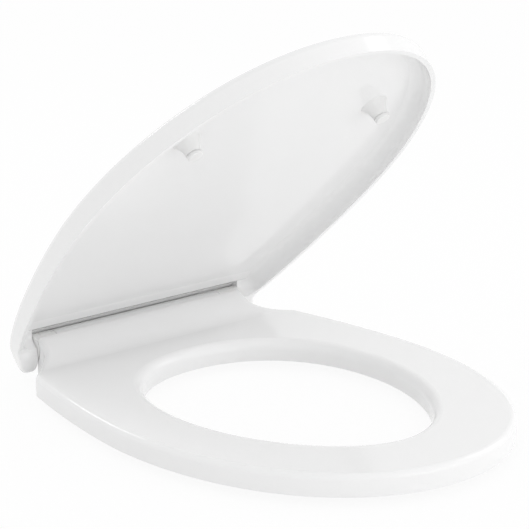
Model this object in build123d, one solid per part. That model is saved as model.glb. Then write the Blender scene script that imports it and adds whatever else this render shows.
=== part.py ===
"""Toilet seat and lid on two hinge posts, in millimetres.

The origin is midway between the two fixings, on top of the pan. The nose points to -Y and +Z is up.
The seat lies down and the lid stands open, as it does at rest.
"""
import math
import os

from build123d import *

# Outline shared by the lid and the seat
seat_width = 358.0
pivot_to_nose = 455.0
nose_to_widest = 238.0
nose_fullness = 0.583
flank_pull = 70.0
corner_pull = 44.0
corner_inset = 55.0
corner_lean_angle = 37.0
corner_behind_pivot = 31.5

# Fixings and hinge line
fixing_inset = 20.6
pivot_setback = 32.0
pivot_height = 32.5
lid_open_angle = 45.0

# Lid
lid_rest_gap = 0.5
lid_edge_lift = 41.5
lid_crown_radius = 20000.0
lid_panel = 4.5
lid_rim_wall = 4.5
lid_edge_round = 6.0
lid_dish_round = 13.0
lid_dish_corner = 15.0
lobe_radius = 17.5
lobe_behind_pivot = 9.0
lobe_blend = 6.0
rear_overhang = 19.0
rear_edge_chamfer = 2.5
rear_wall = 4.5
rear_lip_above_pivot = 7.0
slot_behind_pivot = 2.5
slot_clearance = 1.0
rib_before_pivot = 17.0
rib_front_length = 22.0
rib_rear_length = 14.0
rib_drop = 2.0

# Seat ring
seat_lift = 8.5
seat_thickness = 20.0
seat_inset = 0.8
seat_edge_round = 5.0
neck_inset = 57.5
shoulder_before_pivot = 21.0
shoulder_angle = 45.0
shoulder_round_share = 0.16
deck_rise = 16.3
deck_tip = 2.2
deck_length = 40.0
deck_start_share = 0.5
deck_end_share = 0.33
deck_end_slope = 0.3
deck_skin = 4.5
ring_width = 63.0
hole_front_margin = 73.0
hole_nose_length = 162.0
hole_tail_length = 130.0
hole_nose_fullness = 0.51
hole_tail_fullness = 0.61
hole_edge_round = 9.0
channel_wall = 11.0
channel_depth = 9.0
boss_radius = 12.0
pocket_length = 62.0
pocket_wall = 7.0
gusset_thickness = 4.0
gusset_margin = 4.0
gusset_count_side = 2

# Hinge barrel, knuckles and dampers
barrel_radius = 13.0
knuckle_length = 24.4
knuckle_gap = 0.6
ear_gap = 0.5
knuckle_clearance = 0.6
damper_radius = 7.0
stub_radius = 4.0
stub_length = 10.0
rotor_radius = 5.0
damper_cap_thickness = 2.5
shaft_radius = 3.5
shaft_flat = 2.5
shaft_key_length = 10.0
shaft_root_length = 13.0
running_clearance = 0.05
end_clearance = 0.4
bush_wall = 2.0
bush_length = 11.0

# Posts
foot_radius = 24.0
foot_thickness = 5.5
gasket_thickness = 1.5
gasket_inset = 0.5
arm_thickness = 10.0
arm_outset = 0.5
arm_width = 14.0
arm_foot_radius = 10.0
foot_edge_round = 1.5
bolt_hole_radius = 3.3
cap_hollow_radius = 8.4
cap_hollow_height = 5.2
cap_wall = 1.4
cap_round = 3.0

# Buffers
seat_buffer_radius = 9.0
seat_buffer_round = 2.5
buffer_stem_radius = 4.0
buffer_stem_length = 3.0
buffer_stem_root = 1.0
front_buffer_angle = 56.0
rear_buffer_before_pivot = 143.0
rear_buffer_inset = 43.0
lid_buffer_base_radius = 13.0
lid_buffer_neck_radius = 8.2
lid_buffer_tip_radius = 7.0
lid_buffer_tip_round = 1.6
lid_buffer_tip_height = 3.2
lid_buffer_groove_width = 1.0
lid_buffer_groove_depth = 1.0
lid_buffer_waist = 5.0
lid_buffer_inset = 73.0
lid_buffer_before_pivot = 327.0
closed_gap = 0.4

# Margins used while modelling
cut_margin = 1.0
pick_margin = 1.0
edge_margin = 0.01
upward_share = 0.5
along_share = 0.999

# Places worked out from the sizes above
half_width = seat_width / 2
pivot_y = pivot_setback
nose_y = pivot_y - pivot_to_nose
widest_y = nose_y + nose_to_widest
corner_half_width = half_width - corner_inset
neck_half_width = half_width - neck_inset
hole_width = seat_width - 2 * ring_width
seat_top = seat_lift + seat_thickness
rim_z = seat_top + lid_rest_gap
crown_y = (nose_y + pivot_y) / 2
crown_rise = lid_crown_radius - math.sqrt(lid_crown_radius**2 - (pivot_to_nose / 2) ** 2)
lid_top = seat_lift + lid_edge_lift + crown_rise
crown_z = lid_top - lid_crown_radius
lobe_y = pivot_y + lobe_behind_pivot
lobe_z = crown_z + math.sqrt((lid_crown_radius - lobe_radius) ** 2 - (lobe_y - crown_y) ** 2)
rear_y = pivot_y + corner_behind_pivot
dish_rear = lobe_y - lobe_radius
lid_rear = pivot_y + rear_overhang
knuckle_outer = neck_half_width + ear_gap
knuckle_inner = knuckle_outer - knuckle_length
barrel_half_length = knuckle_inner - knuckle_gap
ear_face = knuckle_outer + knuckle_gap
shoulder_y = pivot_y - shoulder_before_pivot
hole_y = nose_y + hole_front_margin + hole_nose_length
deck_top = seat_top + deck_rise
relief_radius = barrel_radius + knuckle_clearance
deck_end_y = pivot_y - math.sqrt(relief_radius**2 - (deck_top - deck_tip - pivot_height) ** 2)
arm_inner = knuckle_inner + arm_outset
arm_outer = arm_inner + arm_width
fixing_x = arm_inner - fixing_inset
foot_top = gasket_thickness + foot_thickness
reach = 2 * seat_width

hinge_line = Axis((0, pivot_y, pivot_height), (1, 0, 0))


def right_half_outline(inset):
    """Right half of the common outline, nose to rear, with every side moved in by the inset."""
    half = half_width - inset
    nose = nose_y + inset
    lean = math.radians(corner_lean_angle)
    corner = (corner_half_width - inset, rear_y)
    nose_pull = nose_fullness * (nose_to_widest - inset)
    front = Bezier((0, nose), (nose_fullness * half, nose), (half, widest_y - nose_pull), (half, widest_y))
    handle = (corner[0] + corner_pull * math.sin(lean), corner[1] - corner_pull * math.cos(lean))
    flank = Bezier((half, widest_y), (half, widest_y + flank_pull), handle, corner)
    return [front, flank, Line(corner, (0, rear_y))]


def mirrored_face(edges):
    """Face bounded by the edges and their mirror image across the part's middle."""
    half = Curve() + edges
    return make_face(half + mirror(half, about=Plane.YZ))


def outline_block(inset, low, high):
    """Prism on the common outline between two heights."""
    return extrude(Pos(0, 0, low) * mirrored_face(right_half_outline(inset)), high - low)


def hole_face(inset):
    """Oval of the ring's opening, made smaller by the inset."""
    half = hole_width / 2 - inset
    nose = hole_nose_length - inset
    tail = hole_tail_length - inset
    start, side, end = (0, hole_y - nose), (half, hole_y), (0, hole_y + tail)
    side_pull = (half, hole_y - hole_nose_fullness * nose)
    front = Bezier(start, (hole_nose_fullness * half, start[1]), side_pull, side)
    back = Bezier(side, (half, hole_y + hole_tail_fullness * tail), (hole_tail_fullness * half, end[1]), end)
    return mirrored_face([front, back])


def box_between(low, high):
    """Box from its lowest to its highest corner."""
    size = [high[i] - low[i] for i in range(3)]
    centre = [(high[i] + low[i]) / 2 for i in range(3)]
    return Pos(*centre) * Box(*size)


def rod(radius, start_x, end_x, y=pivot_y, z=pivot_height):
    """Round bar along X between two places."""
    middle = (start_x + end_x) / 2
    return Pos(middle, y, z) * Cylinder(radius, abs(end_x - start_x), rotation=(0, 90, 0))


def both_sides(shape):
    """The shape and its mirror image across the part's middle."""
    return shape + mirror(shape, about=Plane.YZ)


def boundary_edges(faces):
    """Edges on the outer boundary of a patch of faces: those that only one of the faces has."""
    found = [e for face in faces for e in face.edges()]
    return [e for e in found if sum(e.is_same(other) for other in found) == 1]


def upward(solid):
    """Faces of a solid that look up."""
    return [f for f in solid.faces() if f.normal_at().Z > upward_share]


def upright_edges(solid):
    """Edges of a solid that run straight up."""
    return [e for e in solid.edges() if abs((e % 0.5).Z) > along_share]


def crosswise(edge):
    """Whether an edge runs straight across the part."""
    return abs((edge % 0.5).X) > along_share


def crown_cylinder(skin):
    """Everything under the lid's crowned top, less a skin."""
    return rod(lid_crown_radius - skin, -reach, reach, crown_y, crown_z)


def lid_side():
    """The closed lid seen from the side: rim, crowned top and the lobe round the hinge line."""
    front_y = nose_y - cut_margin
    front_z = crown_z + math.sqrt(lid_crown_radius**2 - (front_y - crown_y) ** 2)
    reach_share = lid_crown_radius / (lid_crown_radius - lobe_radius)
    touch = (crown_y + reach_share * (lobe_y - crown_y), crown_z + reach_share * (lobe_z - crown_z))
    rim_end = (lobe_y - math.sqrt(lobe_radius**2 - (rim_z - lobe_z) ** 2), rim_z)
    crown = ThreePointArc((front_y, front_z), (crown_y, lid_top), touch)
    lobe = ThreePointArc(touch, (lobe_y, lobe_z - lobe_radius), rim_end)
    return make_face(Curve() + [crown, lobe] + Polyline(rim_end, (front_y, rim_z), (front_y, front_z)))


def lid_block():
    """The lid's outside as a solid block, with its top edge rounded right round the lobes."""
    block = outline_block(0, 0, lid_top + cut_margin) & extrude(Plane.YZ * lid_side(), reach, both=True)
    edges = boundary_edges(block.faces().filter_by(GeomType.CYLINDER))
    block = fillet([e for e in edges if not crosswise(e)], lid_edge_round)
    inner_corner = [e for e in block.edges() if crosswise(e) and abs(e.center().Z - rim_z) < edge_margin]
    return fillet(ShapeList(inner_corner).sort_by(Axis.Y)[-1:], lobe_blend)


def lid_cavity():
    """Space inside the lid: the dish, and the channel between the lobes that holds the barrel."""
    dish = outline_block(lid_rim_wall, rim_z - cut_margin, lid_top) & crown_cylinder(lid_panel)
    dish &= box_between((-reach, -reach, 0), (reach, dish_rear, reach))
    corners = [e for e in upright_edges(dish) if abs(e.center().Y - dish_rear) < pick_margin]
    dish = fillet(corners, lid_dish_corner)
    dish = fillet(upward(dish)[0].edges(), lid_dish_round)
    front = dish_rear - 2 * lid_dish_round
    channel = box_between((-ear_face, front, 0), (ear_face, lid_rear - rear_wall, reach))
    channel &= crown_cylinder(lid_panel)
    rear_edge = boundary_edges(upward(channel)[:1])
    return dish + fillet(ShapeList(rear_edge).sort_by(Axis.Y)[-1:], rear_wall) - hinge_rib()


def hinge_rib():
    """Shallow ridge across the lid's underside, which stiffens it in front of the barrel."""
    ridge_y = pivot_y - rib_before_pivot
    level = underside_height(ridge_y)
    ridge = (ridge_y, level - rib_drop)
    side = Polyline((ridge_y - rib_front_length, level + rib_drop), ridge,
                    (ridge_y + rib_rear_length, level + rib_drop), close=True)
    return extrude(Plane.YZ * make_face(side), reach, both=True)


def closed_lid():
    """The lid's moulding, lying shut on the seat."""
    lid = lid_block() - lid_cavity()
    lid -= box_between((-ear_face, lid_rear, 0), (ear_face, reach, reach))
    rear_edges = [e for e in lid.edges() if crosswise(e) and abs(e.center().Y - lid_rear) < edge_margin]
    lid = chamfer(ShapeList(rear_edges).sort_by(Axis.Z)[-1:], rear_edge_chamfer)
    lip_z = pivot_height + rear_lip_above_pivot
    lid -= box_between((-ear_face, pivot_y, 0), (ear_face, reach, lip_z))
    lid -= rod(relief_radius, -ear_face, ear_face)
    slot_corner = (knuckle_inner - slot_clearance, pivot_y + slot_behind_pivot, 0)
    lid -= both_sides(box_between(slot_corner, (arm_outer + slot_clearance, reach, reach)))
    lid -= bush_bore(-ear_face, -1)
    lid -= key_bore(ear_face, 1)
    for side in (-1, 1):
        lid -= lid_buffer_stem(side)
    return lid


def lid_buffer_place(side):
    """Middle of a lid buffer in plan."""
    return side * (half_width - lid_buffer_inset), pivot_y - lid_buffer_before_pivot


def underside_height(y):
    """Height of the closed lid's underside at a distance along the part."""
    return crown_z + math.sqrt((lid_crown_radius - lid_panel) ** 2 - (y - crown_y) ** 2)


def lid_buffer_stem(side):
    """Stem of a lid buffer, and the hole that it is pressed into."""
    x, y = lid_buffer_place(side)
    middle = underside_height(y) + (buffer_stem_length - buffer_stem_root) / 2
    return Pos(x, y, middle) * Cylinder(buffer_stem_radius, buffer_stem_length + buffer_stem_root)


def closed_lid_buffer(side, cavity):
    """Flared rubber buffer with a grooved tip that stops the lid on the seat."""
    x, y = lid_buffer_place(side)
    base = underside_height(y)
    tip = seat_top + closed_gap
    radius = lid_buffer_tip_radius
    groove_low = tip + lid_buffer_tip_height
    groove_high = groove_low + lid_buffer_groove_width
    groove_radius = radius - lid_buffer_groove_depth
    tip_side = (radius, tip + lid_buffer_tip_round)
    rounding = TangentArc((radius - lid_buffer_tip_round, tip), tip_side, tangent=(1, 0))
    flare = Bezier((radius, groove_high), (lid_buffer_neck_radius, base - lid_buffer_waist),
                   (lid_buffer_base_radius, base))
    outline = Curve() + [Line((0, tip), rounding @ 0), rounding, flare]
    outline += Polyline(tip_side, (radius, groove_low), (groove_radius, groove_low),
                        (groove_radius, groove_high), (radius, groove_high))
    top = base + lid_buffer_waist
    outline += Polyline((lid_buffer_base_radius, base), (lid_buffer_base_radius, top), (0, top), (0, tip))
    body = Pos(x, y, 0) * revolve(Plane.XZ * make_face(outline), Axis.Z)
    return (body & cavity) + lid_buffer_stem(side)


def opened(shape):
    """Turn a shape of the closed lid up to where the lid stands at rest."""
    return shape.rotate(hinge_line, -lid_open_angle)


def deck_profile(drop):
    """Everything under the seat's top, which rises to the barrel at the rear, lowered by the drop."""
    start = deck_end_y - deck_length
    low, high = seat_top - drop, deck_top - drop
    end_pull = deck_end_share * deck_length
    pull_start = (start + deck_start_share * deck_length, low)
    pull_end = (deck_end_y - end_pull, high - deck_end_slope * end_pull)
    rise = Bezier((start, low), pull_start, pull_end, (deck_end_y, high))
    side = Curve() + [Line((-reach, low), (start, low)), rise]
    side += Polyline((deck_end_y, high), (deck_end_y, 0), (-reach, 0), (-reach, low))
    return extrude(Plane.YZ * make_face(side), reach, both=True)


def shoulder_cut():
    """What is taken off the right rear corner: all beside the neck and behind the sloping shoulder."""
    far_y = shoulder_y - (reach - neck_half_width) * math.tan(math.radians(shoulder_angle))
    corners = [(neck_half_width, shoulder_y), (reach, far_y), (reach, reach), (neck_half_width, reach)]
    return extrude(make_face(Polyline(*corners, close=True)), reach)


def seat_blank():
    """The seat's outside: outline, neck and shoulders, rising deck and rounded edges."""
    blank = outline_block(seat_inset, seat_lift, lid_top) - both_sides(shoulder_cut())
    uprights = [e for e in upright_edges(blank) if widest_y + pick_margin < e.center().Y < pivot_y]
    uprights = [e for e in uprights if abs(e.center().X) > pick_margin]
    blank = fillet(uprights, shoulder_round_share * neck_inset)
    blank &= deck_profile(0)
    top_edges = boundary_edges(upward(blank))
    blank = fillet([e for e in top_edges if abs(e.center().Y - deck_end_y) > pick_margin], seat_edge_round)
    return blank


def buffer_places():
    """Middle of each seat buffer in plan, by its name."""
    turn = math.radians(front_buffer_angle)
    across = (half_width + hole_width / 2) / 2
    along = (nose_to_widest + hole_nose_length) / 2
    front = (across * math.cos(turn), (widest_y + hole_y) / 2 - along * math.sin(turn))
    rear = (half_width - rear_buffer_inset, pivot_y - rear_buffer_before_pivot)
    return {f"{row}_{side}": (sign * x, y) for row, (x, y) in (("front", front), ("rear", rear))
            for side, sign in (("left", -1), ("right", 1))}


def underside_channel():
    """Relief under the ring, with a boss left standing for each buffer."""
    pocket_front = pivot_y - pocket_length
    channel = outline_block(seat_inset + channel_wall, 0, seat_lift + channel_depth)
    channel -= extrude(hole_face(-channel_wall), reach, both=True)
    channel &= box_between((-reach, -reach, 0), (reach, pocket_front - channel_wall, reach))
    for x, y in buffer_places().values():
        channel -= Pos(x, y) * Cylinder(boss_radius, reach)
    return channel


def rear_pocket():
    """Hollow under the rear deck that takes the posts, between its gussets."""
    half = neck_half_width - pocket_wall
    pocket = box_between((-half, pivot_y - pocket_length, 0), (half, deck_end_y, reach))
    pocket &= deck_profile(deck_skin)
    gusset_rear = pivot_y - barrel_radius / 2
    corners = [(pivot_y - pocket_length, seat_lift), (gusset_rear, pivot_height - barrel_radius),
               (gusset_rear, reach), (pivot_y - pocket_length, reach)]
    web = extrude(Plane.YZ * make_face(Polyline(*corners, close=True)), gusset_thickness / 2, both=True)
    spacing = (barrel_half_length - gusset_margin) / gusset_count_side
    for step in range(-gusset_count_side, gusset_count_side + 1):
        pocket -= Pos(step * spacing, 0, 0) * web
    return pocket


def seat_ring():
    """The seat's moulding: ring, deck and hinge barrel."""
    seat = seat_blank()
    seat -= extrude(hole_face(0), reach, both=True)
    rim = [e for e in seat.edges() if abs(e.center().Z - seat_top) < edge_margin]
    rim = [e for e in rim if e.bounding_box().max.Y < hole_y + hole_tail_length + pick_margin]
    seat = fillet([e for e in rim if e.bounding_box().min.Y > hole_y - hole_nose_length - pick_margin],
                  hole_edge_round)
    seat -= underside_channel()
    seat -= rear_pocket()
    seat += rod(barrel_radius, -barrel_half_length, barrel_half_length)
    relief = rod(relief_radius, barrel_half_length, reach)
    seat -= both_sides(relief)
    seat -= bush_bore(barrel_half_length, -1)
    seat -= key_bore(-barrel_half_length, 1)
    for x, y in buffer_places().values():
        seat -= seat_buffer_stem(x, y)
    return seat


def seat_buffer_stem(x, y):
    """Stem of a seat buffer, and the hole that it is pressed into."""
    middle = seat_lift + (buffer_stem_length - buffer_stem_root) / 2
    return Pos(x, y, middle) * Cylinder(buffer_stem_radius, buffer_stem_length + buffer_stem_root)


def seat_buffer(x, y):
    """Rubber foot that carries the seat on the pan."""
    pad = Pos(x, y, seat_lift / 2) * Cylinder(seat_buffer_radius, seat_lift)
    pad = fillet(pad.edges().sort_by(Axis.Z)[:1], seat_buffer_round)
    return pad + seat_buffer_stem(x, y)


def bush_bore(face_x, inward):
    """Blind bore for a plain bush, from a face towards the inside of its piece."""
    return rod(stub_radius + running_clearance + bush_wall, face_x, face_x + inward * bush_length)


def bush(face_x, inward):
    """Plain bush that a damper's stub turns in."""
    bore = rod(stub_radius + running_clearance, face_x, face_x + inward * bush_length)
    return bush_bore(face_x, inward) - bore


def keyed_rod(start_x, end_x):
    """Round bar with two flats, which turns whatever it is pushed into."""
    middle = (start_x + end_x) / 2
    flats = Pos(middle, pivot_y, pivot_height) * Box(abs(end_x - start_x), 2 * shaft_radius, 2 * shaft_flat)
    return rod(shaft_radius, start_x, end_x) & flats


def key_bore(face_x, inward):
    """Blind keyed socket for a damper's shaft."""
    return keyed_rod(face_x, face_x + inward * (shaft_key_length + end_clearance))


def damper_shaft(face_x, outward):
    """Damper shaft: a rotor inside the body, a neck through its cap, and keyed outside."""
    rotor_end = face_x - outward * (damper_cap_thickness + end_clearance)
    rotor = rod(rotor_radius, face_x - outward * shaft_root_length, rotor_end)
    neck = rod(shaft_radius, rotor_end, face_x)
    return rotor + neck + keyed_rod(face_x, face_x + outward * (knuckle_gap + shaft_key_length))


def damper_cap(face_x, outward):
    """Cap pressed into the mouth of a damper, which keeps the rotor in."""
    inside = face_x - outward * damper_cap_thickness
    ring = rod(rotor_radius + running_clearance, inside, face_x)
    return ring - rod(shaft_radius + running_clearance, inside, face_x)


def damper_body(shaft_face, stub_face):
    """Damper barrel: a chamber for the rotor at one face, a plain stub at the other."""
    outward = math.copysign(1, shaft_face - stub_face)
    depth = shaft_root_length + end_clearance
    body = rod(damper_radius, stub_face, shaft_face)
    body -= rod(rotor_radius + running_clearance, shaft_face - outward * depth, shaft_face)
    return body + rod(stub_radius, stub_face, stub_face - outward * (knuckle_gap + stub_length))


def foot_plan(inset):
    """Plan of a post's foot: a disc at the fixing that runs out to the arm."""
    disc = Pos(fixing_x, 0) * Circle(foot_radius - inset)
    root = Pos((arm_inner + arm_outer) / 2, 0) * Circle(arm_foot_radius - inset)
    return make_hull(disc.edges() + root.edges())


def hinge_post():
    """Right hinge post: foot, sloping arm and the knuckle that holds a damper."""
    foot = extrude(Pos(0, 0, gasket_thickness) * foot_plan(0), foot_thickness)
    foot = fillet(foot.faces().sort_by(Axis.Z)[-1].edges(), foot_edge_round)
    half = arm_thickness / 2
    low = Pos(0, gasket_thickness + half) * Circle(half)
    high = Pos(pivot_y, pivot_height) * Circle(half)
    bar = extrude(Plane.YZ * make_hull(low.edges() + high.edges()), arm_outer - arm_inner)
    post = foot + Pos(arm_inner, 0, 0) * bar + rod(barrel_radius, knuckle_inner, knuckle_outer)
    post -= rod(damper_radius, knuckle_inner, knuckle_outer)
    return post - Pos(fixing_x, 0) * Cylinder(bolt_hole_radius, reach)


def base_gasket():
    """Right gasket under the post's foot."""
    plan = extrude(foot_plan(gasket_inset), gasket_thickness)
    return plan - Pos(fixing_x, 0) * Cylinder(bolt_hole_radius, reach)


def cover_cap():
    """Right cap on the foot, hollow for the head of the bolt that the foot takes."""
    height = cap_hollow_height + cap_wall
    hollow = Pos(Z=cap_hollow_height / 2) * Cylinder(cap_hollow_radius, cap_hollow_height)
    outside = Pos(Z=height / 2) * Cylinder(cap_hollow_radius + cap_wall, height)
    cap = fillet(outside.edges().sort_by(Axis.Z)[-1:], cap_round) - hollow
    return Pos(fixing_x, 0, foot_top) * cap


def build_parts():
    """Every piece of the seat, by its name."""
    cavity = lid_cavity()
    parts = {"lid": opened(closed_lid()), "seat_ring": seat_ring()}
    for side, sign in (("left", -1), ("right", 1)):
        parts[f"lid_buffer_{side}"] = opened(closed_lid_buffer(sign, cavity))
    for name, (x, y) in buffer_places().items():
        parts[f"seat_buffer_{name}"] = seat_buffer(x, y)
    parts["lid_bush_left"] = opened(bush(-ear_face, -1))
    parts["seat_bush_right"] = bush(barrel_half_length, -1)
    parts["damper_body_left"] = damper_body(-knuckle_inner, -knuckle_outer)
    parts["damper_body_right"] = damper_body(knuckle_outer, knuckle_inner)
    parts["damper_cap_left"] = damper_cap(-knuckle_inner, 1)
    parts["damper_cap_right"] = damper_cap(knuckle_outer, 1)
    parts["damper_shaft_left"] = damper_shaft(-knuckle_inner, 1)
    parts["damper_shaft_right"] = opened(damper_shaft(knuckle_outer, 1))
    pieces = {maker.__name__: maker() for maker in (hinge_post, base_gasket, cover_cap)}
    for name, piece in pieces.items():
        parts[f"{name}_right"] = piece
        parts[f"{name}_left"] = mirror(piece, about=Plane.YZ)
    return parts


os.makedirs("parts", exist_ok=True)
for name, shape in build_parts().items():
    export_step(shape, os.path.join("parts", name + ".step"))
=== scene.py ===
"""Looks of a white toilet seat with its lid open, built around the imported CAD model.

Run as a script, it gives each CAD piece its finish, adds the marks that the mould's ejector pins leave
under the ring, and sets up a white studio seen from the left of the seat's nose. Lengths are in metres.
"""

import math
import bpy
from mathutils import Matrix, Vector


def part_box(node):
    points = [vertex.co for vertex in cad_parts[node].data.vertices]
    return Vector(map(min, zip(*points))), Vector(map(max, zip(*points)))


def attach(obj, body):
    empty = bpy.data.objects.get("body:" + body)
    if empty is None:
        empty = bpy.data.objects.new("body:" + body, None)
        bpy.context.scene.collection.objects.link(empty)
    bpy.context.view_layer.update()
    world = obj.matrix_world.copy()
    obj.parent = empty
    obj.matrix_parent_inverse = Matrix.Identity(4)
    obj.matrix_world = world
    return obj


bl_info = {
    "name": "Toilet Seat Looks",
    "version": (1, 0, 0),
    "blender": (4, 5, 0),
    "location": "View3D > Sidebar > Toilet Seat",
    "description": "Finishes, moulded details and studio for a white toilet seat",
    "category": "Object",
}

import bpy
from bpy.props import FloatProperty, FloatVectorProperty, IntProperty, PointerProperty
from mathutils import Vector

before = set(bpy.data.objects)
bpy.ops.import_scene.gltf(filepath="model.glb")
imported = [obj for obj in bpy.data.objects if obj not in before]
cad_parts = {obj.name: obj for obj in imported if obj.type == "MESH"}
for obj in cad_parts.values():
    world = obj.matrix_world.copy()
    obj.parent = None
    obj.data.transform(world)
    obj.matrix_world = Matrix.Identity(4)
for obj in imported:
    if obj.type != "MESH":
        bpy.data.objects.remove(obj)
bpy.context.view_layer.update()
SIDES = ("left", "right")

# Moulded skin: its name, how much finer the smears are than the clouds, and how the noise turns into gloss
SKIN_NAME = "Moulded Skin"
SMEAR_FINENESS = 2.7
NOISE_LOW = 0.3
NOISE_HIGH = 0.7
GLOSS_SPREAD = 0.2

# Studio: plain white, the floor's own colour and the width of the camera's sensor in millimetres
PLAIN_WHITE = (1.0, 1.0, 1.0, 1.0)
FLOOR_COLOUR = (0.93, 0.93, 0.93, 1.0)
SENSOR_WIDTH = 36.0

# How far up the marks look for the ring
PROBE_LENGTH = 1.0


class SeatFinish(bpy.types.PropertyGroup):
    """Colours and gloss of the seat's materials."""

    white: FloatVectorProperty(
        name="Moulding White", description="Colour of the lid, the ring and the caps",
        subtype="COLOR", size=3, min=0.0, max=1.0, default=(0.90, 0.90, 0.90))
    white_roughness: FloatProperty(
        name="Moulding Roughness", description="Roughness of the polished mouldings",
        subtype="FACTOR", min=0.0, max=1.0, default=0.11)
    peel_depth: FloatProperty(
        name="Peel Depth", description="Depth of the faint ripple in the polished mouldings",
        unit="LENGTH", min=0.0, default=0.00002)
    buffer_colour: FloatVectorProperty(
        name="Buffer Rubber", description="Colour of the buffers on the lid and the ring",
        subtype="COLOR", size=3, min=0.0, max=1.0, default=(0.86, 0.86, 0.855))
    post_colour: FloatVectorProperty(
        name="Post Plastic", description="Colour of the hinge posts",
        subtype="COLOR", size=3, min=0.0, max=1.0, default=(0.88, 0.88, 0.87))
    shaft_colour: FloatVectorProperty(
        name="Shaft Steel", description="Colour of the ground damper shafts",
        subtype="COLOR", size=3, min=0.0, max=1.0, default=(0.55, 0.55, 0.56))
    damper_colour: FloatVectorProperty(
        name="Damper Plastic", description="Colour of the damper bodies and their caps",
        subtype="COLOR", size=3, min=0.0, max=1.0, default=(0.20, 0.21, 0.22))
    bush_colour: FloatVectorProperty(
        name="Bush Plastic", description="Colour of the plain bushes",
        subtype="COLOR", size=3, min=0.0, max=1.0, default=(0.68, 0.68, 0.65))
    seal_colour: FloatVectorProperty(
        name="Gasket Rubber", description="Colour of the gaskets under the feet",
        subtype="COLOR", size=3, min=0.0, max=1.0, default=(0.035, 0.035, 0.036))


class SeatMarks(bpy.types.PropertyGroup):
    """Round marks that the ejector pins of the mould leave under the ring."""

    radius: FloatProperty(
        name="Mark Radius", description="Radius of a mark where it meets the ring",
        unit="LENGTH", min=0.0, default=0.0042)
    bevel: FloatProperty(
        name="Mark Bevel", description="Width of the sloping edge of a mark",
        unit="LENGTH", min=0.0, default=0.0005)
    height: FloatProperty(
        name="Mark Height", description="How far a mark stands out of the ring",
        unit="LENGTH", min=0.0, default=0.0004)
    sink: FloatProperty(
        name="Mark Sink", description="How far a mark reaches into the ring",
        unit="LENGTH", min=0.0, default=0.0003)
    spacing: FloatProperty(
        name="Mark Spacing", description="Distance from one mark to the next along the channel",
        unit="LENGTH", min=0.001, default=0.038)
    rim_inset: FloatProperty(
        name="Rim Inset", description="Distance from the ring's rim to the middle of the channel under it",
        unit="LENGTH", min=0.0, default=0.034)
    least_depth: FloatProperty(
        name="Least Depth",
        description="Height of the channel below which no mark is set, such as under a boss",
        unit="LENGTH", min=0.0, default=0.016)
    facets: IntProperty(
        name="Mark Facets", description="Number of sides of a mark", min=3, default=32)


class SeatStudio(bpy.types.PropertyGroup):
    """Camera, lights and floor."""

    azimuth: FloatProperty(
        name="Azimuth", description="Turn of the camera round the seat, from the nose",
        subtype="ANGLE", default=math.radians(-39.26))
    elevation: FloatProperty(
        name="Elevation", description="Height of the camera above the horizon",
        subtype="ANGLE", default=math.radians(16.91))
    distance: FloatProperty(
        name="Distance", description="Distance from the camera to what it aims at",
        unit="LENGTH", default=2.240)
    aim: FloatVectorProperty(
        name="Aim", description="Place that the camera aims at",
        subtype="XYZ", unit="LENGTH", size=3, default=(0.0, -0.1636, 0.1374))
    lens: FloatProperty(
        name="Lens", description="Focal length of the camera on a 36 mm sensor, in millimetres",
        unit="CAMERA", default=170.1)
    sky: FloatProperty(
        name="Sky Level", description="Brightness of the soft light from straight above",
        min=0.0, default=0.88)
    sky_lean: FloatProperty(
        name="Sky Lean",
        description="How much brighter the soft light is in front of the seat than above it",
        min=0.0, default=0.1)
    floor_width: FloatProperty(
        name="Floor Width", description="Side of the square floor",
        unit="LENGTH", default=12.0)
    floor_glow: FloatProperty(
        name="Floor Glow", description="Share of plain white in what the camera sees of the floor",
        subtype="FACTOR", min=0.0, max=1.0, default=0.93)
    key_power: FloatProperty(
        name="Key Power", description="Power of the strip in front of the seat, above its nose",
        unit="POWER", min=0.0, default=0.8)
    side_power: FloatProperty(
        name="Side Power", description="Power of the softbox on the seat's right",
        unit="POWER", min=0.0, default=4.2)
    fill_power: FloatProperty(
        name="Fill Power", description="Power of the low strip that lights the lid's underside",
        unit="POWER", min=0.0, default=3.0)
    edge_power: FloatProperty(
        name="Edge Power",
        description="Power of the softbox behind the seat, which draws the bright line on its left edge",
        unit="POWER", min=0.0, default=2.0)


def add_node(tree, kind, place, inputs=None, **settings):
    """Add a node to a tree at a place on its sheet, with its settings and input values."""
    node = tree.nodes.new(kind)
    node.location = place
    for key, value in settings.items():
        setattr(node, key, value)
    for key, value in (inputs or {}).items():
        node.inputs[key].default_value = value
    return node


def new_group(name, inputs, outputs, kind="ShaderNodeTree"):
    """Make a node group with named sockets; return it with its input and output nodes."""
    group = bpy.data.node_groups.new(name, kind)
    for label, socket_type, default in inputs:
        socket = group.interface.new_socket(label, in_out="INPUT", socket_type=socket_type)
        if default is not None:
            socket.default_value = default
    for label, socket_type in outputs:
        group.interface.new_socket(label, in_out="OUTPUT", socket_type=socket_type)
    given = add_node(group, "NodeGroupInput", (-900, 0))
    made = add_node(group, "NodeGroupOutput", (600, 0))
    return group, given, made


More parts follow.
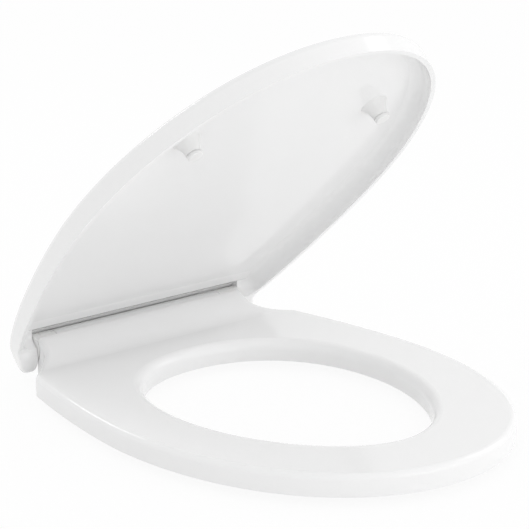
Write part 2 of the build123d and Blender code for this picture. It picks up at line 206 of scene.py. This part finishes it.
def moulded_skin_group():
    """Ripple, shade and gloss of a surface that copies a polished or a blasted mould."""
    group, given, made = new_group(
        SKIN_NAME,
        [("Coordinates", "NodeSocketVector", None), ("Ripple Scale", "NodeSocketFloat", 500.0),
         ("Cloud Scale", "NodeSocketFloat", 14.0)],
        [("Shade", "NodeSocketFloat"), ("Gloss", "NodeSocketFloat"), ("Height", "NodeSocketFloat")])
    ripple = add_node(group, "ShaderNodeTexNoise", (-500, 250), {"Detail": 2.0, "Roughness": 0.45})
    cloud = add_node(group, "ShaderNodeTexNoise", (-500, 0), {"Detail": 4.0, "Roughness": 0.55})
    smear = add_node(group, "ShaderNodeTexNoise", (-500, -250), {"Detail": 5.0, "Distortion": 1.4})
    finer = add_node(group, "ShaderNodeMath", (-700, -250), {1: SMEAR_FINENESS}, operation="MULTIPLY")
    for noise in (ripple, cloud, smear):
        group.links.new(given.outputs["Coordinates"], noise.inputs["Vector"])
    group.links.new(given.outputs["Ripple Scale"], ripple.inputs["Scale"])
    group.links.new(given.outputs["Cloud Scale"], cloud.inputs["Scale"])
    group.links.new(given.outputs["Cloud Scale"], finer.inputs[0])
    group.links.new(finer.outputs[0], smear.inputs["Scale"])
    group.links.new(cloud.outputs["Fac"], made.inputs["Shade"])
    group.links.new(smear.outputs["Fac"], made.inputs["Gloss"])
    group.links.new(ripple.outputs["Fac"], made.inputs["Height"])
    return group


def skin_group():
    """The moulded skin group, made on first use."""
    return bpy.data.node_groups.get(SKIN_NAME) or moulded_skin_group()


def skin_material(name, colour, spread, roughness, depth, ripple, metallic=0.0, stretch=(1, 1, 1)):
    """Material on the moulded skin: colour and roughness each vary by a spread round their value."""
    material = bpy.data.materials.new(name)
    material.use_nodes = True
    tree = material.node_tree
    shader = tree.nodes["Principled BSDF"]
    shader.inputs["Metallic"].default_value = metallic
    where = add_node(tree, "ShaderNodeTexCoord", (-1300, 0))
    mapping = add_node(tree, "ShaderNodeMapping", (-1100, 0), {"Scale": stretch})
    surface = add_node(tree, "ShaderNodeGroup", (-850, 0), node_tree=skin_group())
    surface.inputs["Ripple Scale"].default_value = ripple
    shade = add_node(tree, "ShaderNodeMix", (-550, 150), data_type="RGBA")
    shade.inputs["A"].default_value = tuple(c * (1 - spread) for c in colour) + (1.0,)
    shade.inputs["B"].default_value = tuple(min(1.0, c * (1 + spread)) for c in colour) + (1.0,)
    gloss = add_node(tree, "ShaderNodeMapRange", (-550, -100), {
        "From Min": NOISE_LOW, "From Max": NOISE_HIGH,
        "To Min": roughness * (1 - GLOSS_SPREAD), "To Max": roughness * (1 + GLOSS_SPREAD)})
    bump = add_node(tree, "ShaderNodeBump", (-300, -250), {"Strength": 1.0, "Distance": depth})
    tree.links.new(where.outputs["Object"], mapping.inputs["Vector"])
    tree.links.new(mapping.outputs["Vector"], surface.inputs["Coordinates"])
    tree.links.new(surface.outputs["Shade"], shade.inputs["Factor"])
    tree.links.new(surface.outputs["Gloss"], gloss.inputs["Value"])
    tree.links.new(surface.outputs["Height"], bump.inputs["Height"])
    tree.links.new(shade.outputs["Result"], shader.inputs["Base Color"])
    tree.links.new(gloss.outputs["Result"], shader.inputs["Roughness"])
    tree.links.new(bump.outputs["Normal"], shader.inputs["Normal"])
    return material


def dress(nodes, material):
    """Give CAD nodes a material, in place of the ones they were packed with."""
    for name in nodes:
        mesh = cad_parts[name].data
        mesh.materials.clear()
        mesh.materials.append(material)


def both(pattern):
    """Names of a left and a right piece."""
    return [pattern.format(side) for side in SIDES]


class SEAT_OT_dress_mouldings(bpy.types.Operator):
    """Give the lid, the ring and the cover caps their polished white finish."""

    bl_idname = "seat.dress_mouldings"
    bl_label = "Dress Mouldings"

    def execute(self, context):
        finish = context.scene.seat_finish
        white = skin_material("polished_white", finish.white, spread=0.006,
                              roughness=finish.white_roughness, depth=finish.peel_depth, ripple=420.0)
        dress(["lid", "seat_ring"] + both("cover_cap_{}"), white)
        return {"FINISHED"}


class SEAT_OT_dress_buffers(bpy.types.Operator):
    """Give the rubber buffers their satin finish."""

    bl_idname = "seat.dress_buffers"
    bl_label = "Dress Buffers"

    def execute(self, context):
        finish = context.scene.seat_finish
        rubber = skin_material("buffer_rubber", finish.buffer_colour, spread=0.02, roughness=0.42,
                               depth=0.00004, ripple=1500.0)
        names = both("lid_buffer_{}") + both("seat_buffer_front_{}") + both("seat_buffer_rear_{}")
        dress(names, rubber)
        return {"FINISHED"}


class SEAT_OT_dress_hinges(bpy.types.Operator):
    """Give the posts their satin plastic and the damper shafts their ground steel."""

    bl_idname = "seat.dress_hinges"
    bl_label = "Dress Hinges"

    def execute(self, context):
        finish = context.scene.seat_finish
        satin = skin_material("satin_post", finish.post_colour, spread=0.012, roughness=0.3,
                              depth=0.00003, ripple=900.0)
        ground = skin_material("ground_shaft", finish.shaft_colour, spread=0.05, roughness=0.22,
                               depth=0.00001, ripple=300.0, metallic=1.0, stretch=(14.0, 1.0, 1.0))
        dress(both("hinge_post_{}"), satin)
        dress(both("damper_shaft_{}"), ground)
        return {"FINISHED"}


class SEAT_OT_dress_dampers(bpy.types.Operator):
    """Give the dampers, the bushes and the gaskets their matt finishes."""

    bl_idname = "seat.dress_dampers"
    bl_label = "Dress Dampers, Bushes and Gaskets"

    def execute(self, context):
        finish = context.scene.seat_finish
        damper = skin_material("damper_plastic", finish.damper_colour, spread=0.05, roughness=0.5,
                               depth=0.00006, ripple=2200.0)
        bush = skin_material("bush_plastic", finish.bush_colour, spread=0.02, roughness=0.4,
                             depth=0.00003, ripple=1800.0)
        seal = skin_material("gasket_rubber", finish.seal_colour, spread=0.15, roughness=0.7,
                             depth=0.00008, ripple=2600.0)
        dress(both("damper_body_{}") + both("damper_cap_{}"), damper)
        dress(["lid_bush_left", "seat_bush_right"], bush)
        dress(both("base_gasket_{}"), seal)
        return {"FINISHED"}


def mark_tree():
    """Tree that sets round marks along a path, on the surface that lies straight above it."""
    tree, given, made = new_group(
        "Ejector Marks",
        [("Path", "NodeSocketGeometry", None), ("Ring", "NodeSocketObject", None),
         ("Radius", "NodeSocketFloat", None), ("Bevel", "NodeSocketFloat", None),
         ("Height", "NodeSocketFloat", None), ("Sink", "NodeSocketFloat", None),
         ("Spacing", "NodeSocketFloat", None),
         ("Least Depth", "NodeSocketFloat", None), ("Facets", "NodeSocketInt", None),
         ("Finish", "NodeSocketMaterial", None)],
        [("Marks", "NodeSocketGeometry")], kind="GeometryNodeTree")
    points = add_node(tree, "GeometryNodeCurveToPoints", (-650, 300), mode="LENGTH")
    ring = add_node(tree, "GeometryNodeObjectInfo", (-650, 0), transform_space="ORIGINAL")
    above = add_node(tree, "GeometryNodeRaycast", (-420, 100),
                     {"Ray Direction": (0, 0, 1), "Ray Length": PROBE_LENGTH})
    shallow = add_node(tree, "FunctionNodeCompare", (-200, 0), operation="LESS_THAN")
    missed = add_node(tree, "FunctionNodeBooleanMath", (-200, 150), operation="NOT")
    unfit = add_node(tree, "FunctionNodeBooleanMath", (0, 100), operation="OR")
    kept = add_node(tree, "GeometryNodeDeleteGeometry", (180, 300), domain="POINT")
    buried = add_node(tree, "ShaderNodeMath", (-200, -250), operation="ADD")
    lift = add_node(tree, "ShaderNodeCombineXYZ", (0, -250))
    depth = add_node(tree, "ShaderNodeMath", (-650, -350), operation="ADD")
    face = add_node(tree, "ShaderNodeMath", (-650, -520), operation="SUBTRACT")
    mark = add_node(tree, "GeometryNodeMeshCone", (-420, -400), fill_type="NGON")
    moved = add_node(tree, "GeometryNodeSetPosition", (360, 300))
    placed = add_node(tree, "GeometryNodeInstanceOnPoints", (540, 300), {"Rotation": (math.pi, 0, 0)})
    whole = add_node(tree, "GeometryNodeRealizeInstances", (720, 300))
    painted = add_node(tree, "GeometryNodeSetMaterial", (900, 300))
    made.location = (1080, 300)
    for start, end in (
            (given.outputs["Path"], points.inputs["Curve"]),
            (given.outputs["Spacing"], points.inputs["Length"]),
            (given.outputs["Ring"], ring.inputs["Object"]),
            (ring.outputs["Geometry"], above.inputs["Target Geometry"]),
            (above.outputs["Is Hit"], missed.inputs[0]),
            (above.outputs["Hit Distance"], shallow.inputs["A"]),
            (given.outputs["Least Depth"], shallow.inputs["B"]),
            (missed.outputs[0], unfit.inputs[0]),
            (shallow.outputs[0], unfit.inputs[1]),
            (points.outputs["Points"], kept.inputs["Geometry"]),
            (unfit.outputs[0], kept.inputs["Selection"]),
            (kept.outputs["Geometry"], moved.inputs["Geometry"]),
            (above.outputs["Hit Distance"], buried.inputs[0]),
            (given.outputs["Sink"], buried.inputs[1]),
            (buried.outputs[0], lift.inputs["Z"]),
            (lift.outputs[0], moved.inputs["Offset"]),
            (given.outputs["Height"], depth.inputs[0]),
            (given.outputs["Sink"], depth.inputs[1]),
            (given.outputs["Radius"], face.inputs[0]),
            (given.outputs["Bevel"], face.inputs[1]),
            (given.outputs["Facets"], mark.inputs["Vertices"]),
            (face.outputs[0], mark.inputs["Radius Top"]),
            (given.outputs["Radius"], mark.inputs["Radius Bottom"]),
            (depth.outputs[0], mark.inputs["Depth"]),
            (moved.outputs["Geometry"], placed.inputs["Points"]),
            (mark.outputs["Mesh"], placed.inputs["Instance"]),
            (placed.outputs["Instances"], whole.inputs["Geometry"]),
            (whole.outputs["Geometry"], painted.inputs["Geometry"]),
            (given.outputs["Finish"], painted.inputs["Material"]),
            (painted.outputs["Geometry"], made.inputs["Marks"])):
        tree.links.new(start, end)
    return tree


def buffer_place(name):
    """Middle of a buffer in plan."""
    least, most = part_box(name)
    return Vector(((least[0] + most[0]) / 2, (least[1] + most[1]) / 2, 0.0))


def channel_path(rim_inset):
    """Curve along the middle of the channel under the ring, through the places of its buffers."""
    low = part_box("seat_ring")[0]
    rear = buffer_place("seat_buffer_rear_left")
    front = buffer_place("seat_buffer_front_left")
    flank = Vector((low[0] + rim_inset, (rear.y + front.y) / 2, 0.0))
    left = [rear, flank, front]
    nose = Vector((0.0, low[1] + rim_inset, 0.0))
    places = left + [nose] + [Vector((-place.x, place.y, 0.0)) for place in reversed(left)]
    curve = bpy.data.curves.new("channel_path", "CURVE")
    curve.dimensions = "3D"
    spline = curve.splines.new("BEZIER")
    spline.bezier_points.add(len(places) - 1)
    for point, place in zip(spline.bezier_points, places):
        point.co = place
        point.handle_left_type = "AUTO"
        point.handle_right_type = "AUTO"
    return curve


def grown_mesh(name, data, tree, inputs):
    """Plain mesh object that a tree makes of an object's data, with the tree's inputs given by name."""
    scene = bpy.context.scene
    seed = bpy.data.objects.new(name, data)
    scene.collection.objects.link(seed)
    modifier = seed.modifiers.new("grow", "NODES")
    modifier.node_group = tree
    for item in tree.interface.items_tree:
        if item.item_type == "SOCKET" and item.in_out == "INPUT" and item.name in inputs:
            modifier[item.identifier] = inputs[item.name]
    graph = bpy.context.evaluated_depsgraph_get()
    mesh = bpy.data.meshes.new_from_object(seed.evaluated_get(graph), depsgraph=graph)
    bpy.data.objects.remove(seed)
    if not mesh.polygons:
        raise RuntimeError(f"the tree made no faces for {name}")
    mesh.name = name
    piece = bpy.data.objects.new(name, mesh)
    scene.collection.objects.link(piece)
    return piece


class SEAT_OT_ejector_marks(bpy.types.Operator):
    """Set the round marks of the mould's ejector pins along the channel under the ring."""

    bl_idname = "seat.ejector_marks"
    bl_label = "Ejector Marks"

    def execute(self, context):
        marks = context.scene.seat_marks
        piece = grown_mesh("ejector_marks", channel_path(marks.rim_inset), mark_tree(), {
            "Ring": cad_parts["seat_ring"], "Radius": marks.radius, "Bevel": marks.bevel,
            "Height": marks.height, "Sink": marks.sink, "Spacing": marks.spacing,
            "Least Depth": marks.least_depth, "Facets": marks.facets,
            "Finish": bpy.data.materials["polished_white"]})
        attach(piece, "seat")
        return {"FINISHED"}


# Softboxes: name, way from the place that the camera aims at, width and height
LAMPS = (
    ("key", (-0.3, -1.75, 0.7), (1.2, 0.3)),
    ("side", (1.6, -0.5, 0.9), (0.8, 1.2)),
    ("fill", (0.6, -1.8, 0.12), (1.6, 0.4)),
    ("edge", (-0.32, 1.3, 0.87), (0.35, 0.55)),
)


def area_light(name, place, aim, size, power):
    """Soft rectangular lamp at a place, turned to what it lights."""
    lamp = bpy.data.lights.new(name, "AREA")
    lamp.shape = "RECTANGLE"
    lamp.size, lamp.size_y = size
    lamp.energy = power
    holder = bpy.data.objects.new(name, lamp)
    holder.location = place
    holder.rotation_euler = (aim - place).to_track_quat("-Z", "Y").to_euler()
    bpy.context.scene.collection.objects.link(holder)


def seen_directly(tree, place):
    """Value that is one for camera, glossy and transmission rays, and zero for the rest."""
    path = add_node(tree, "ShaderNodeLightPath", place)
    some = add_node(tree, "ShaderNodeMath", (place[0] + 200, place[1]), operation="MAXIMUM")
    total = add_node(tree, "ShaderNodeMath", (place[0] + 400, place[1]), operation="MAXIMUM")
    tree.links.new(path.outputs["Is Camera Ray"], some.inputs[0])
    tree.links.new(path.outputs["Is Glossy Ray"], some.inputs[1])
    tree.links.new(some.outputs[0], total.inputs[0])
    tree.links.new(path.outputs["Is Transmission Ray"], total.inputs[1])
    return total.outputs[0]


def white_world(sky, lean):
    """World that lights softly, more from the front than from behind, and is seen as plain white."""
    world = bpy.data.worlds.new("white_studio")
    world.use_nodes = True
    tree = world.node_tree
    tree.nodes.clear()
    way = add_node(tree, "ShaderNodeTexCoord", (-700, 0))
    axes = add_node(tree, "ShaderNodeSeparateXYZ", (-500, 0))
    level = add_node(tree, "ShaderNodeMath", (-250, 100), {1: -lean, 2: sky}, operation="MULTIPLY_ADD")
    light = add_node(tree, "ShaderNodeBackground", (0, 100), {"Color": PLAIN_WHITE})
    seen = add_node(tree, "ShaderNodeBackground", (0, -100), {"Color": PLAIN_WHITE, "Strength": 1.0})
    mix = add_node(tree, "ShaderNodeMixShader", (250, 0))
    out = add_node(tree, "ShaderNodeOutputWorld", (450, 0))
    tree.links.new(way.outputs["Generated"], axes.inputs[0])
    tree.links.new(axes.outputs["Y"], level.inputs[0])
    tree.links.new(level.outputs[0], light.inputs["Strength"])
    tree.links.new(seen_directly(tree, (-700, 300)), mix.inputs["Fac"])
    tree.links.new(light.outputs[0], mix.inputs[1])
    tree.links.new(seen.outputs[0], mix.inputs[2])
    tree.links.new(mix.outputs[0], out.inputs["Surface"])
    return world


def floor_material(glow):
    """Pale floor that keeps a soft shadow, and is otherwise seen as plain white."""
    material = bpy.data.materials.new("pale_floor")
    material.use_nodes = True
    tree = material.node_tree
    tree.nodes.clear()
    matt = add_node(tree, "ShaderNodeBsdfDiffuse", (0, 100), {"Color": FLOOR_COLOUR})
    plain = add_node(tree, "ShaderNodeEmission", (0, -100), {"Color": PLAIN_WHITE, "Strength": 1.0})
    share = add_node(tree, "ShaderNodeMath", (0, 300), {1: glow}, operation="MULTIPLY")
    mix = add_node(tree, "ShaderNodeMixShader", (250, 0))
    out = add_node(tree, "ShaderNodeOutputMaterial", (450, 0))
    tree.links.new(seen_directly(tree, (-700, 300)), share.inputs[0])
    tree.links.new(share.outputs[0], mix.inputs["Fac"])
    tree.links.new(matt.outputs[0], mix.inputs[1])
    tree.links.new(plain.outputs[0], mix.inputs[2])
    tree.links.new(mix.outputs[0], out.inputs["Surface"])
    return material


def stand_camera(studio):
    """Camera at the studio's angle, aimed at the middle of the picture."""
    turn, lift = studio.azimuth, studio.elevation
    back = Vector((math.sin(turn) * math.cos(lift), -math.cos(turn) * math.cos(lift), math.sin(lift)))
    data = bpy.data.cameras.new("camera")
    data.lens = studio.lens
    data.sensor_width = SENSOR_WIDTH
    camera = bpy.data.objects.new("camera", data)
    camera.location = Vector(studio.aim) + back * studio.distance
    camera.rotation_euler = (-back).to_track_quat("-Z", "Y").to_euler()
    bpy.context.scene.collection.objects.link(camera)
    bpy.context.scene.camera = camera


class SEAT_OT_stage(bpy.types.Operator):
    """Set up the white studio: floor, world, lamps and camera."""

    bl_idname = "seat.stage"
    bl_label = "Set the Stage"

    def execute(self, context):
        scene = context.scene
        studio = scene.seat_studio
        scene.view_settings.view_transform = "Standard"
        scene.world = white_world(studio.sky, studio.sky_lean)
        half = studio.floor_width / 2
        mesh = bpy.data.meshes.new("floor")
        corners = [(-half, -half, 0), (half, -half, 0), (half, half, 0), (-half, half, 0)]
        mesh.from_pydata(corners, [], [(0, 1, 2, 3)])
        mesh.materials.append(floor_material(studio.floor_glow))
        floor = bpy.data.objects.new("floor", mesh)
        scene.collection.objects.link(floor)
        aim = Vector(studio.aim)
        for name, way, size in LAMPS:
            area_light(f"{name}_softbox", aim + Vector(way), aim, size, getattr(studio, f"{name}_power"))
        stand_camera(studio)
        return {"FINISHED"}


class SEAT_PT_looks(bpy.types.Panel):
    """Sidebar panel with the seat's finishes and the steps that make its looks."""

    bl_idname = "SEAT_PT_looks"
    bl_label = "Toilet Seat"
    bl_space_type = "VIEW_3D"
    bl_region_type = "UI"
    bl_category = "Toilet Seat"

    def draw(self, context):
        scene = context.scene
        for settings in (scene.seat_finish, scene.seat_marks, scene.seat_studio):
            for name in settings.bl_rna.properties.keys():
                if name not in ("rna_type", "name"):
                    self.layout.prop(settings, name)
        for step in STEPS:
            self.layout.operator(step.bl_idname)


STEPS = (SEAT_OT_dress_mouldings, SEAT_OT_dress_buffers, SEAT_OT_dress_hinges, SEAT_OT_dress_dampers,
         SEAT_OT_ejector_marks, SEAT_OT_stage)
CLASSES = (SeatFinish, SeatMarks, SeatStudio) + STEPS + (SEAT_PT_looks,)


def register():
    """Register the classes and hang the settings on the scene."""
    for cls in CLASSES:
        bpy.utils.register_class(cls)
    bpy.types.Scene.seat_finish = PointerProperty(type=SeatFinish)
    bpy.types.Scene.seat_marks = PointerProperty(type=SeatMarks)
    bpy.types.Scene.seat_studio = PointerProperty(type=SeatStudio)


def unregister():
    """Take the settings off the scene and unregister the classes."""
    del bpy.types.Scene.seat_studio
    del bpy.types.Scene.seat_marks
    del bpy.types.Scene.seat_finish
    for cls in reversed(CLASSES):
        bpy.utils.unregister_class(cls)


def main():
    """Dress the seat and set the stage."""
    register()
    bpy.ops.seat.dress_mouldings()
    bpy.ops.seat.dress_buffers()
    bpy.ops.seat.dress_hinges()
    bpy.ops.seat.dress_dampers()
    bpy.ops.seat.ejector_marks()
    bpy.ops.seat.stage()
    bpy.context.view_layer.update()


if __name__ == "__main__":
    main()
